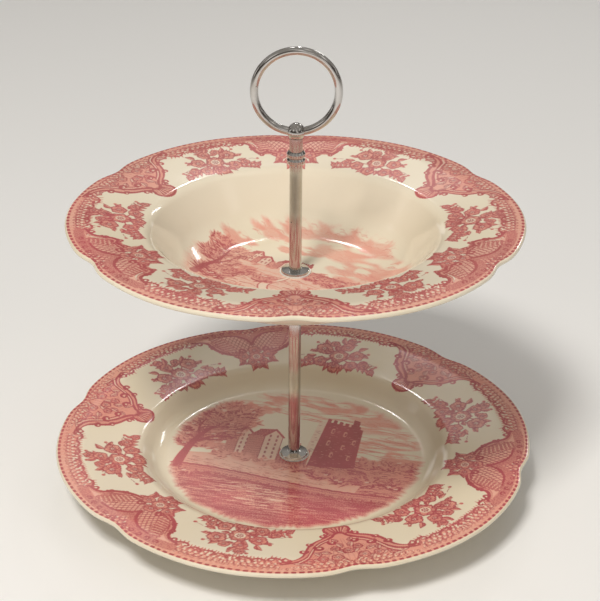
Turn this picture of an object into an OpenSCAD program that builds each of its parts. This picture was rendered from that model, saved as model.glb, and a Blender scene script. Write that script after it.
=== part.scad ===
// Two-tier cake stand: a dinner plate and a rimmed soup plate on a screwed rod with a ring handle.
// Millimetres, +Z up. The origin is on the rod's axis, on the surface that the lower plate stands on.

/* [Lower plate] */
// Radius to the middle of a lobe
lower_r = 127.5; // [105:0.5:160]
// How far a notch in the outline cuts in behind the lobe radius
lower_notch = 4.2; // [2:0.1:6]
// Height of the rim above the foot
lower_h = 23.4; // [21:0.1:30]
// Radius where the flat floor would meet the wall of the well
lower_floor_r = 73.5; // [62:0.5:76]
// Radius where the wall meets the sloping rim
lower_shoulder_r = 82.5; // [81:0.5:88]
// Height from the shoulder up to the edge of the rim
lower_rim_rise = 4.8; // [3:0.1:7]
// Depth of the recess inside the foot ring
lower_foot_h = 5.2; // [4.6:0.1:7]
// How far the foot ring stands in from the foot of the wall
lower_foot_inset = 3; // [2:0.5:8]
// How far the plate is turned on the rod from the upper one, in degrees
lower_turn = 14; // [0:1:30]

/* [Upper plate] */
// Radius to the middle of a lobe
upper_r = 115.5; // [95:0.5:145]
// How far a notch in the outline cuts in behind the lobe radius
upper_notch = 4.2; // [2:0.1:6]
// Height of the rim above the foot
upper_h = 39.6; // [34:0.1:48]
// Radius where the flat floor would meet the wall of the well
upper_floor_r = 53; // [44:0.5:60]
// Radius where the wall meets the sloping rim
upper_shoulder_r = 74; // [70:0.5:80]
// Height from the shoulder up to the edge of the rim
upper_rim_rise = 5; // [3:0.1:7]
// Depth of the recess inside the foot ring
upper_foot_h = 3; // [2:0.1:5]
// How far the foot ring stands in from the foot of the wall
upper_foot_inset = 10; // [4:0.5:16]

/* [China] */
// Thickness of the floor
floor_t = 4.6; // [3.6:0.1:6.5]
// Thickness of the wall and the rim
wall_t = 2.6; // [2.4:0.1:5]
// Width of the foot ring where it stands
foot_w = 3.2; // [2:0.1:5]
// Diameter of the hole drilled in the middle
hole_d = 8; // [7:0.1:10]

/* [Rods] */
// Length of the lower rod
lower_rod_len = 100; // [80:1:150]
// Length of the upper rod
upper_rod_len = 57; // [45:1:120]
// Outer diameter of both rods
rod_d = 6.4; // [6:0.1:8]
// Wall of the rod's tube
rod_wall = 0.5; // [0.4:0.05:0.7]
// Length of each tapped plug in the rods' ends
plug_len = 10; // [8:0.5:14]

/* [Screws] */
// Nominal diameter of the screw thread
thread_d = 4; // [3:0.1:4.2]
// How far each thread goes into its plug
thread_grip = 8.4; // [6:0.1:8.4]
// Diameter of the base screw's head
head_d = 9; // [7:0.1:12]
// Thickness of the base screw's head
head_t = 2.2; // [1.6:0.1:2.4]

/* [Washers] */
// Diameter of the pressed metal flanges
flange_d = 15; // [12:0.1:20]
// Height of the pressed metal flanges
flange_h = 1.8; // [1.4:0.1:3]
// Thickness of the sheet that the flanges are pressed from
flange_t = 0.6; // [0.4:0.05:0.8]
// Diameter of the white plastic washers
seal_d = 16; // [13:0.1:22]
// Thickness of the white plastic washers
seal_t = 0.8; // [0.6:0.1:1.2]
// Length of each plastic washer's spigot in the drilled hole
spigot_len = 1.6; // [1:0.1:1.7]
// Thickness of the flat washer on the base screw
washer_t = 0.8; // [0.5:0.1:1]

/* [Handle] */
// Outer diameter of the ring
ring_d = 45.2; // [36:0.1:60]
// Diameter of the ring's wire
wire_d = 4.1; // [3:0.1:5]
// Diameter of the ball that holds the ring
ball_d = 9; // [7.4:0.1:10]
// Diameter of the two beads
bead_d = 9.2; // [8:0.1:12]
// Height of each bead
bead_h = 3.3; // [2.5:0.1:4]
// Diameter of the plain neck
neck_d = 6.6; // [6:0.1:8]
// Length of the plain neck between the bead and the ball
neck_len = 7; // [5:0.1:12]

/* [Hidden] */
$fn = 96;

// Fits
fit_gap = 0.05;      // radial gap of a thread stand-in in its tapped plug
pass_gap = 0.3;      // radial gap of a screw in a washer or flange
spigot_gap = 0.15;   // radial gap of a plastic spigot in the drilled hole
// Shared shapes
lobes = 6;
lobe_steps = 32;     // facets round each lobe
notch_share = 0.6;   // part of a notch's depth that is the small dip, and not the droop of the lobes
notch_spread = 4.5;  // half-angle of the small dip
level_w = 9;         // width of the level edge of the rim, inwards from the notches
band_w = 5;          // width of the part that follows the outline, inwards from the notches
band_lap = 1.5;      // how far that part is buried in the round part
edge_round = 1.2;    // how far the round edge bulges
edge_steps = 6;      // facets in the round edge
foot_taper = 1.4;    // how much the foot ring widens towards the plate on each side
slot_w = 1.2;        // screwdriver slot in the base screw
slot_depth = 1.1;
seat_w = 0.4;        // how far a flange's level seat stands out round the rod
lip_h = 0.5;         // straight edge of a flange below its dome
thread_tip = 0.5;    // chamfer on a screw's end
bore_spare = 1;      // depth left past the end of a screw
ball_lift = 0.2;     // how far the ball is held above where the neck's rim would touch it
arc_steps = 10;      // points in each rounded corner of a plate's section

thread_r = thread_d / 2;
rod_r = rod_d / 2;
tube_r = rod_r - rod_wall;
tapped_r = thread_r + fit_gap;
passing_r = thread_r + pass_gap;
wire_r = wire_d / 2;
ring_r = ring_d / 2 - wire_r;

// Heights up the rod
lower_floor_z = lower_foot_h + floor_t;
lower_flange_z = lower_floor_z + seal_t;
lower_rod_z = lower_flange_z + flange_h;
lower_rod_top = lower_rod_z + lower_rod_len;
under_seal_z = lower_rod_top + flange_h;
upper_under_z = under_seal_z + seal_t;
upper_foot_z = upper_under_z - upper_foot_h;
upper_floor_z = upper_under_z + floor_t;
upper_flange_z = upper_floor_z + seal_t;
upper_rod_z = upper_flange_z + flange_h;
upper_rod_top = upper_rod_z + upper_rod_len;
neck_z = upper_rod_top + bead_h;
neck_top = neck_z + bead_h + neck_len;
ball_z = neck_top + sqrt(pow(ball_d / 2, 2) - pow(neck_d / 2, 2)) + ball_lift;
ring_z = ball_z + ring_r;
base_washer_z = lower_foot_h - seal_t - washer_t;

function unit(v) = v / norm(v);
function between(a, b) = let (d = b - a) d > 180 ? d - 360 : d < -180 ? d + 360 : d;
function angle_of(v) = atan2(v.y, v.x);

// The corner at b between a and c, rounded to radius r
function corner(a, b, c, r) =
    r == 0 ? [b] :
    let (u = unit(a - b), v = unit(c - b), half = acos(u * v) / 2,
         centre = b + unit(u + v) * r / sin(half),
         start = angle_of(b + u * r / tan(half) - centre),
         turn = between(start, angle_of(b + v * r / tan(half) - centre)))
    [for (i = [0:arc_steps]) centre + r * [cos(start + turn * i / arc_steps), sin(start + turn * i / arc_steps)]];

// A closed outline whose corners are [x, y, rounding radius]
function rounded(path) =
    let (n = len(path), at = [for (p = path) [p.x, p.y]])
    [for (i = [0:n - 1]) each corner(at[(i + n - 1) % n], at[i], at[(i + 1) % n], path[i].z)];

// Radius of a plate's outline at an angle: each lobe droops to its sides, and a small notch parts it from the next.
function outline(r, notch, angle) =
    let (off = abs(between(0, (angle + 180 / lobes) % (360 / lobes) - 180 / lobes)), from_notch = 180 / lobes - off)
    r - notch * (1 - notch_share) * (1 - cos(lobes * off)) / 2
      - notch * notch_share * exp(-pow(from_notch / notch_spread, 2));

// The part of the rim that follows the outline: a band with a round outer edge, buried in the round part inside r_in.
module rim_band(r, notch, h, r_in) {
    steps = lobes * lobe_steps;
    mid = h - wall_t / 2;
    function section(edge) = [
        [r_in - band_lap, mid + wall_t / 2 - 0.3], [r_in + 0.5, mid + wall_t / 2],
        for (i = [0:edge_steps]) let (a = 180 * i / edge_steps)
            [edge - edge_round * (1 - sin(a)), mid + wall_t / 2 * cos(a)],
        [r_in + 0.5, mid - wall_t / 2], [r_in - band_lap, mid - wall_t / 2 + 0.3]
    ];
    n = edge_steps + 5;
    points = [for (s = [0:steps - 1]) let (angle = 360 * s / steps)
        for (p = section(outline(r, notch, angle))) [p.x * cos(angle), p.x * sin(angle), p.y]];
    faces = [for (s = [0:steps - 1], i = [0:n - 1])
        let (a = s * n + i, b = s * n + (i + 1) % n, c = (s + 1) % steps * n + (i + 1) % n, d = (s + 1) % steps * n + i)
        each [[a, c, b], [a, d, c]]];
    polyhedron(points, faces);
}

// One plate, standing on z = 0: floor, wall, sloping rim, foot ring and lobed band, with a drilled middle.
module plate(r, notch, h, floor_r, shoulder_r, rise, foot_h, foot_inset) {
    floor_z = foot_h + floor_t;
    level_r = r - notch - level_w;
    round_r = r - notch - band_w;
    shoulder = [shoulder_r, h - rise];
    out = let (w = unit(shoulder - [floor_r, floor_z])) [w.y, -w.x] * wall_t;
    wall_foot = floor_r + out.x;
    foot_out = wall_foot - foot_inset - foot_taper;
    foot_in = foot_out - foot_w;
    well_round = (shoulder_r - floor_r) * 1.4;
    section = rounded([
        [hole_d / 2, floor_z, 0], [floor_r, floor_z, well_round], [shoulder.x, shoulder.y, 9],
        [level_r, h, 40], [round_r, h, 0],
        [round_r, h - wall_t, 0], [level_r, h - wall_t, 40],
        [shoulder.x + out.x, shoulder.y + out.y, 9],
        [wall_foot, foot_h, foot_inset * 1.8], [foot_out + foot_taper, foot_h, 0], [foot_out, 0, 0],
        [foot_in, 0, 0], [foot_in - foot_taper, foot_h, 0], [hole_d / 2, foot_h, 0]
    ]);
    rotate_extrude() polygon(section);
    rim_band(r, notch, h, round_r);
}

// White plastic washer, lying on z = 0, whose spigot centres the screw in the drilled hole
module seal() {
    difference() {
        union() {
            cylinder(d = seal_d, h = seal_t);
            translate([0, 0, -spigot_len]) cylinder(r = hole_d / 2 - spigot_gap, h = spigot_len + seal_t / 2);
        }
        translate([0, 0, -spigot_len - 1]) cylinder(r = passing_r, h = spigot_len + seal_t + 2);
    }
}

// Pressed flange, standing on z = 0: a shallow dome with a level seat for the rod
module flange() {
    seat_r = rod_r + seat_w;
    rim_r = flange_d / 2;
    rotate_extrude() polygon(rounded([
        [passing_r, flange_h, 0], [seat_r, flange_h, 1], [rim_r - flange_t / 2, lip_h + flange_t, 0.5], [rim_r, 0, 0],
        [rim_r - flange_t, 0, 0], [rim_r - 1.5 * flange_t, lip_h, 0.3],
        [seat_r - flange_t / 2, flange_h - flange_t, 0.6], [passing_r, flange_h - flange_t, 0]
    ]));
}

// A rod's thin tube, standing on z = 0
module tube(len) {
    difference() {
        cylinder(r = rod_r, h = len);
        translate([0, 0, -1]) cylinder(r = tube_r, h = len + 2);
    }
}

// Brass plug pressed into the end of a tube, tapped from z = 0
module plug() {
    difference() {
        cylinder(r = tube_r, h = plug_len);
        translate([0, 0, -1]) cylinder(r = tapped_r, h = thread_grip + bore_spare + 1);
    }
}

// Threaded length with a chamfered end, from z = 0 up
module screw_end(len) {
    cylinder(r = thread_r, h = len - thread_tip);
    translate([0, 0, len - thread_tip]) cylinder(r1 = thread_r, r2 = thread_r - thread_tip, h = thread_tip);
}

// Half-round bead with a hole, standing on z = 0
module bead(bore_r) {
    round = bead_h * 0.46;
    rotate_extrude() polygon(rounded([
        [bore_r, 0, 0], [bead_d / 2 - round * 0.4, 0, 0], [bead_d / 2, bead_h * 0.28, 0.7],
        [bead_d / 2, bead_h * 0.72, 0.7], [bead_d / 2 - round * 0.4, bead_h, 0], [bore_r, bead_h, 0]
    ]));
}

module up(z) { translate([0, 0, z]) children(); }
module flipped() { mirror([0, 0, 1]) children(); }

module lower_plate() {
    color("mistyrose") rotate(lower_turn) plate(lower_r, lower_notch, lower_h, lower_floor_r, lower_shoulder_r,
        lower_rim_rise, lower_foot_h, lower_foot_inset);
}
module upper_plate() {
    color("mistyrose") up(upper_foot_z) plate(upper_r, upper_notch, upper_h, upper_floor_r, upper_shoulder_r,
        upper_rim_rise, upper_foot_h, upper_foot_inset);
}

module base_seal() { color("white") up(lower_foot_h) flipped() seal(); }
module lower_seal() { color("white") up(lower_floor_z) seal(); }
module under_seal() { color("white") up(upper_under_z) flipped() seal(); }
module upper_seal() { color("white") up(upper_floor_z) seal(); }

module lower_flange() { color("silver") up(lower_flange_z) flange(); }
module under_flange() { color("silver") up(under_seal_z) flipped() flange(); }
module upper_flange() { color("silver") up(upper_flange_z) flange(); }

module base_washer() {
    color("silver") up(base_washer_z) difference() {
        cylinder(d = flange_d, h = washer_t);
        up(-1) cylinder(r = passing_r, h = washer_t + 2);
    }
}
module base_screw() {
    head_round = 1.1;
    color("silver") {
        difference() {
            up(base_washer_z - head_t) rotate_extrude() polygon(rounded([
                [0, 0, 0], [head_d / 2 - 0.4, 0, head_round], [head_d / 2, head_t, 0], [0, head_t, 0]
            ]));
            translate([-head_d, -slot_w / 2, base_washer_z - head_t - 1]) cube([2 * head_d, slot_w, 1 + slot_depth]);
        }
        up(base_washer_z - head_t / 2) screw_end(lower_rod_z + thread_grip - base_washer_z + head_t / 2);
    }
}

module lower_rod() { color("silver") up(lower_rod_z) tube(lower_rod_len); }
module upper_rod() { color("silver") up(upper_rod_z) tube(upper_rod_len); }
module lower_rod_foot_plug() { color("goldenrod") up(lower_rod_z) plug(); }
module lower_rod_head_plug() { color("goldenrod") up(lower_rod_top) flipped() plug(); }
module upper_rod_foot_plug() { color("goldenrod") up(upper_rod_z) plug(); }
module upper_rod_head_plug() { color("goldenrod") up(upper_rod_top) flipped() plug(); }

// The stud stays in the lower rod, and the upper rod turns on and off it.
module joining_stud() {
    middle = (lower_rod_top + upper_rod_z) / 2;
    half = (upper_rod_z - lower_rod_top) / 2 + thread_grip;
    color("silver") up(middle) {
        screw_end(half);
        flipped() screw_end(half);
    }
}

module rod_collar() { color("silver") up(upper_rod_top) bead(passing_r); }
module handle_neck() {
    color("silver") difference() {
        union() {
            up(neck_z) bead(0);
            up(neck_z + bead_h / 2) cylinder(d = neck_d, h = neck_top - neck_z - bead_h / 2);
        }
        up(neck_z - 1) cylinder(r = thread_r, h = bead_h + neck_len / 2 + 1);
        up(ball_z) sphere(d = ball_d);
    }
}
module handle_stud() {
    top = neck_z + bead_h + neck_len / 2;
    color("silver") up(top) flipped() screw_end(top - upper_rod_top + thread_grip);
}
module ring_ball() {
    color("silver") difference() {
        up(ball_z) sphere(d = ball_d);
        handle_ring();
    }
}
module handle_ring() {
    color("silver") up(ring_z) rotate([90, 0, 0]) rotate_extrude() translate([ring_r, 0]) circle(wire_r, $fn = 48);
}

lower_plate();
base_seal();
lower_seal();
base_screw();
base_washer();
lower_flange();
lower_rod();
lower_rod_foot_plug();
lower_rod_head_plug();
joining_stud();
under_flange();
under_seal();
upper_plate();
upper_seal();
upper_flange();
upper_rod();
upper_rod_foot_plug();
upper_rod_head_plug();
rod_collar();
handle_neck();
handle_stud();
ring_ball();
handle_ring();
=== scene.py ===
"""Two-tier cake stand: looks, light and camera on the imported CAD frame. Metres, +Z up."""
import math

import bpy
import numpy as np
from mathutils import Matrix, Vector


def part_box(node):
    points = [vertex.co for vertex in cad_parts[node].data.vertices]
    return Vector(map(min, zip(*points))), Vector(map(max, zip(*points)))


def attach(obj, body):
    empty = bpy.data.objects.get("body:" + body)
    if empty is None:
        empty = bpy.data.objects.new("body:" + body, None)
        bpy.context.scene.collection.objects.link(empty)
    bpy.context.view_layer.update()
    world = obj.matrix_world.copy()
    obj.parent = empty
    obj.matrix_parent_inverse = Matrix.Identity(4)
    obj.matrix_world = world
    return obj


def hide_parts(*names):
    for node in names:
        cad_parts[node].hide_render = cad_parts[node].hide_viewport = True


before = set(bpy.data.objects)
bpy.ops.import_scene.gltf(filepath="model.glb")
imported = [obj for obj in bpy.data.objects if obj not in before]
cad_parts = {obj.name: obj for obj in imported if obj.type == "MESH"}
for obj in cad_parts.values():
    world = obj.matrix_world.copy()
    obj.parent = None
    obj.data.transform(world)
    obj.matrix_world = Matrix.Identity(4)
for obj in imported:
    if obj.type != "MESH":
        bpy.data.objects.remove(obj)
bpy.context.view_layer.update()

TAU = 2 * math.pi
MM = 0.001


# ---------------------------------------------------------------- drawing the print
class Canvas:
    """Two layers of ink on a grid in millimetres: wash is the flat salmon tint, ink the crimson line work."""

    def __init__(self, x0, x1, y0, y1, step):
        self.x0, self.y0, self.step = x0, y0, step
        self.xs = np.arange(x0, x1, step)
        self.ys = np.arange(y0, y1, step)
        self.wash = np.zeros((len(self.ys), len(self.xs)), np.float32)
        self.ink = np.zeros_like(self.wash)

    def window(self, lo, hi):
        i0 = max(0, int((lo[0] - self.x0) / self.step) - 1)
        i1 = min(len(self.xs), int((hi[0] - self.x0) / self.step) + 3)
        j0 = max(0, int((lo[1] - self.y0) / self.step) - 1)
        j1 = min(len(self.ys), int((hi[1] - self.y0) / self.step) + 3)
        if i1 <= i0 or j1 <= j0:
            return None
        return (slice(j0, j1), slice(i0, i1)), self.xs[None, i0:i1], self.ys[j0:j1, None]

    def lay(self, at, cover, ink, wash):
        """Puts the given inks down where cover is 1; None leaves that layer alone."""
        if ink is not None:
            self.ink[at] += (ink - self.ink[at]) * cover
        if wash is not None:
            self.wash[at] += (wash - self.wash[at]) * cover

    def stroke(self, pts, w0, w1=None, ink=None, wash=None, wm=None, soft=0.25):
        """A line through pts whose width goes from w0 to w1, by way of wm in the middle if that is given."""
        pts = np.asarray(pts, float)
        if len(pts) < 2:
            return
        w1 = w0 if w1 is None else w1
        f = np.linspace(0, 1, len(pts))
        w = w0 + (w1 - w0) * f if wm is None else np.interp(f, [0, 0.5, 1], [w0, wm, w1])
        pad = w.max() / 2 + soft
        got = self.window(pts.min(0) - pad, pts.max(0) + pad)
        if got is None:
            return
        at, x, y = got
        best = np.full((y.shape[0], x.shape[1]), -9.0, np.float32)
        for (ax, ay), (bx, by), wa, wb in zip(pts[:-1], pts[1:], w[:-1], w[1:]):
            dx, dy = bx - ax, by - ay
            t = ((x - ax) * dx + (y - ay) * dy) / max(dx * dx + dy * dy, 1e-9)
            t = np.clip(t, 0, 1)
            d = np.hypot(x - ax - t * dx, y - ay - t * dy)
            best = np.maximum(best, (wa + (wb - wa) * t) / 2 - d)
        self.lay(at, np.clip(best / soft + 0.5, 0, 1), ink, wash)

    def fill(self, pts, ink=None, wash=None, soft=0.25):
        """A filled polygon with a soft edge."""
        pts = np.asarray(pts, float)
        got = self.window(pts.min(0) - soft, pts.max(0) + soft)
        if got is None:
            return
        at, x, y = got
        inside = np.zeros((y.shape[0], x.shape[1]), bool)
        best = np.full(inside.shape, 9.0)
        for (ax, ay), (bx, by) in zip(pts, np.roll(pts, -1, 0)):
            dx, dy = bx - ax, by - ay
            t = np.clip(((x - ax) * dx + (y - ay) * dy) / max(dx * dx + dy * dy, 1e-9), 0, 1)
            best = np.minimum(best, np.hypot(x - ax - t * dx, y - ay - t * dy))
            if ay != by:
                inside ^= ((ay > y) != (by > y)) & (x < (bx - ax) * (y - ay) / (by - ay) + ax)
        self.lay(at, np.clip(np.where(inside, best, -best) / soft + 0.5, 0, 1), ink, wash)

    def oval(self, c, rx, ry, turn=0.0, ink=None, wash=None, soft=0.25):
        r = max(rx, ry) + soft
        got = self.window((c[0] - r, c[1] - r), (c[0] + r, c[1] + r))
        if got is None:
            return
        at, x, y = got
        u = (x - c[0]) * math.cos(turn) + (y - c[1]) * math.sin(turn)
        v = -(x - c[0]) * math.sin(turn) + (y - c[1]) * math.cos(turn)
        q = np.sqrt((u / rx) ** 2 + (v / ry) ** 2)
        self.lay(at, np.clip((1 - q) * min(rx, ry) / soft + 0.5, 0, 1), ink, wash)

    def read(self, x, y):
        """(wash, ink) at the given places, by bilinear lookup."""
        i = np.clip((x - self.x0) / self.step, 0, len(self.xs) - 1.001)
        j = np.clip((y - self.y0) / self.step, 0, len(self.ys) - 1.001)
        i0, j0 = i.astype(int), j.astype(int)
        fi, fj = i - i0, j - j0
        out = []
        for g in (self.wash, self.ink):
            out.append((g[j0, i0] * (1 - fi) + g[j0, i0 + 1] * fi) * (1 - fj)
                       + (g[j0 + 1, i0] * (1 - fi) + g[j0 + 1, i0 + 1] * fi) * fj)
        return out


def curve(pts, n=8):
    """A Catmull-Rom curve through the points."""
    p = np.asarray(pts, float)
    p = np.vstack([2 * p[0] - p[1], p, 2 * p[-1] - p[-2]])
    t = np.linspace(0, 1, n, endpoint=False)[:, None]
    out = []
    for a, b, c, d in zip(p[:-3], p[1:-2], p[2:-1], p[3:]):
        out.append(0.5 * (2 * b + (c - a) * t + (2 * a - 5 * b + 4 * c - d) * t ** 2
                          + (3 * b - a - 3 * c + d) * t ** 3))
    out.append(p[-2][None])
    return np.vstack(out)


def curl(c, r, start, turns, n=22, tight=0.25):
    """A spiral round c, from radius r at the angle start inwards to tight times r."""
    f = np.linspace(0, 1, n)
    a = start + TAU * turns * f
    rr = r * (1 - (1 - tight) * f)
    return np.c_[c[0] + rr * np.cos(a), c[1] + rr * np.sin(a)]


class Local:
    """Draws in a frame that stands on the rim: t runs along it at mid depth and v inwards from the edge."""

    def __init__(self, cv, edge_r, angle, flip=1):
        self.cv, self.edge_r, self.angle, self.flip = cv, edge_r, math.radians(angle), flip

    def at(self, pts):
        p = np.asarray(pts, float)
        r = self.edge_r - p[:, 1]
        a = self.angle + self.flip * p[:, 0] / (self.edge_r - 22)
        return np.c_[r * np.cos(a), r * np.sin(a)]

    def line(self, pts, w0, w1=None, smooth=True, **k):
        pts = curve(pts) if smooth and len(pts) > 2 else pts
        self.cv.stroke(self.at(pts), w0, w1, **k)

    def area(self, pts, smooth=True, **k):
        if smooth:
            pts = curve(list(pts) + [pts[0]])[:-1]
        self.cv.fill(self.at(pts), **k)

    def dot(self, p, r, **k):
        self.cv.oval(self.at([p])[0], r, r, **k)


# The printed border, in millimetres
LIP_W = 0.9       # cream lip outside the print
BAND_W = 9.6      # mean width of the printed band
BAND_TOOTH = 6.6  # spacing of the leaf tips along its inner edge
STITCH = 3.8      # length of one dash and its gap in the stitched line
FINE_STEP = 0.2   # grid of every canvas
WELL_R = 72       # half the side of the canvas that holds a well's picture


def rose(L, c, r, rng, open_=0.5, petals=5):
    """A flower head: a ring of shaded petals with dark edges round a pale or dark heart."""
    a0 = rng.uniform(0, TAU)
    at = lambda a, q: (c[0] + q * math.cos(a), c[1] + q * math.sin(a))
    for k in range(petals):
        a = a0 + TAU * k / petals
        tip = [at(a + f * math.pi / petals * 1.05, r * (1.0 - 0.2 * f * f + 0.06 * math.cos(3 * math.pi * f)))
               for f in np.linspace(-1, 1, 9)]
        L.area([c] + tip, smooth=False, wash=0.9, ink=(0.3, 0.12, 0.42)[k % 3])
        L.line(tip, max(0.5, r * 0.17), smooth=False, ink=0.85)
        for f in (-0.5, 0, 0.5):
            b = a + f * math.pi / petals
            L.line([at(b, r * 0.3), at(b, r * 0.85)], r * 0.12, 0.15, smooth=False, ink=0.7)
        L.line([at(a + math.pi / petals, r * 0.3), tip[-1]], 0.5, 0.35, smooth=False, ink=0.85)
    L.dot(c, r * 0.34 * (0.6 + open_), wash=0.2, ink=0.0)
    for k in range(7):
        L.dot(at(a0 + TAU * k / 7, r * 0.27), r * 0.08 + 0.12, ink=0.85)
    L.dot(c, r * 0.1 + 0.1, ink=0.8)


def leaf(L, base, angle, length, width, ink=0.45, wash=0.9):
    """A pointed leaf with a dark midrib and one darker half."""
    ca, sa = math.cos(angle), math.sin(angle)

    def at(f, s):
        bend = s * width + 0.12 * length * math.sin(math.pi * f)
        return (base[0] + ca * f * length - sa * bend, base[1] + sa * f * length + ca * bend)
    fs = np.linspace(0, 1, 7)
    edge = [at(f, 0.5 * math.sin(math.pi * f ** 0.8)) for f in fs]
    back = [at(f, -0.5 * math.sin(math.pi * f ** 0.8)) for f in fs[::-1]]
    mid = [at(f, 0) for f in fs]
    L.area(edge + back[1:-1], smooth=False, wash=wash, ink=ink * 0.5)
    L.area(edge + mid[::-1][1:-1], smooth=False, ink=ink * 1.2)
    L.line(edge, 0.45, 0.3, smooth=False, ink=0.8)
    L.line(back, 0.45, 0.3, smooth=False, ink=0.8)
    L.line(mid, 0.5, 0.25, smooth=False, ink=0.85)


def spray(L, v0, rng, size=1.0):
    """A pyramid of flowers: its tip towards the edge, its long foot along the well, and a sprig at either end."""
    P = lambda t, v: (t * size, v0 + v * size)
    for end, mid in (((-25, 10), (-14, 8)), ((25, 8), (14, 6)), ((-3, -15), (-1, -6)), ((12, -9), (5, -3))):
        L.line([P(0, 4), P(*mid), P(*end)], 0.9 * size, 0.5, ink=0.75, wash=1)
    for k in range(15):
        a = math.pi * (0.06 + 0.88 * k / 14)
        t, v = 12 * math.cos(a), 9 + 3.5 * math.sin(a)
        leaf(L, P(t * 0.8, v - 3), a + rng.uniform(-0.3, 0.3), rng.uniform(5, 7) * size, 3 * size, 0.5)
    for t, v, a, n in ((-3, -9, -1.9, 7), (-2, -9, -1.2, 7), (-3, -7, -2.6, 6), (0, -6, -0.5, 6), (7, -7, -0.9, 6),
                       (12, -3, 0.2, 7), (-12, -1, 3.3, 6), (-14, 4, 2.8, 7), (14, 3, 0.1, 6), (-10, -5, -2.4, 6)):
        leaf(L, P(t, v), a + rng.uniform(-0.2, 0.2), n * size, 3 * size, 0.55)
    for f in (-1, 1):
        for k in range(4):
            t, v = f * (14 + 3.4 * k), 8 + 0.6 * k
            leaf(L, P(t, v), (0.9 if f > 0 else 2.2) + 0.1 * k, 5.5 * size, 2.6 * size, 0.55)
            leaf(L, P(t, v), (-0.8 if f > 0 else 4.0) + 0.1 * k, 5 * size, 2.4 * size, 0.45)
        rose(L, P(f * 18.5, 6.5), 3.0 * size, rng, 0.3)
        rose(L, P(f * 25.5, 10.5), 2.4 * size, rng, 0.4)
    for t, v, r in ((-10, 9, 4.2), (11, 8, 4.3), (-10.5, -0.5, 4.4), (10, -3.5, 4.8), (1, 11.5, 4.2), (-3, -7, 3.6),
                    (-4, -13, 2.6), (4.5, -8.5, 2.8)):
        rose(L, P(t, v), r * size, rng, 0.25)
    for k in range(10):
        a = rng.uniform(0, TAU)
        leaf(L, P(5.5 * math.cos(a), 2 + 5 * math.sin(a)), a, 4.6 * size, 2.6 * size, 0.7)
    rose(L, P(0, 2), 5.6 * size, rng, 0.8, 7)
    for t, v in ((-3, -17.5), (-7.5, -14), (0.5, -14.5), (14.5, -9), (-16.5, -4), (17, -1.5), (-26, 5), (27, 4)):
        L.line([P(t * 0.8, v * 0.75), P(t, v)], 0.5, ink=0.75)
        L.dot(P(t, v), 1.0 * size, wash=1, ink=0.45)
        L.dot(P(t + 0.3, v - 0.2), 0.5 * size, ink=0.85)


def frond(L, p, angle, size):
    """A small C-scroll with a leafy back, as along the inner edge of the band."""
    ca, sa = math.cos(angle) * size, math.sin(angle) * size
    at = lambda u, w: (p[0] + ca * u - sa * w, p[1] + sa * u + ca * w)
    for f in (-0.8, -0.3, 0.2, 0.7):
        L.line([at(f, 0.3), at(f * 1.2, 1.1)], 1.1, 0.4, smooth=False, ink=0.55, wash=1)
    L.line([at(-1.0, 0.0), at(-0.6, 0.42), at(0, 0.6), at(0.6, 0.42), at(0.95, 0.0), at(0.75, -0.3),
            at(0.45, -0.18)],
           0.7, 0.9, wm=1.3, ink=0.85, wash=1)


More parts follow.
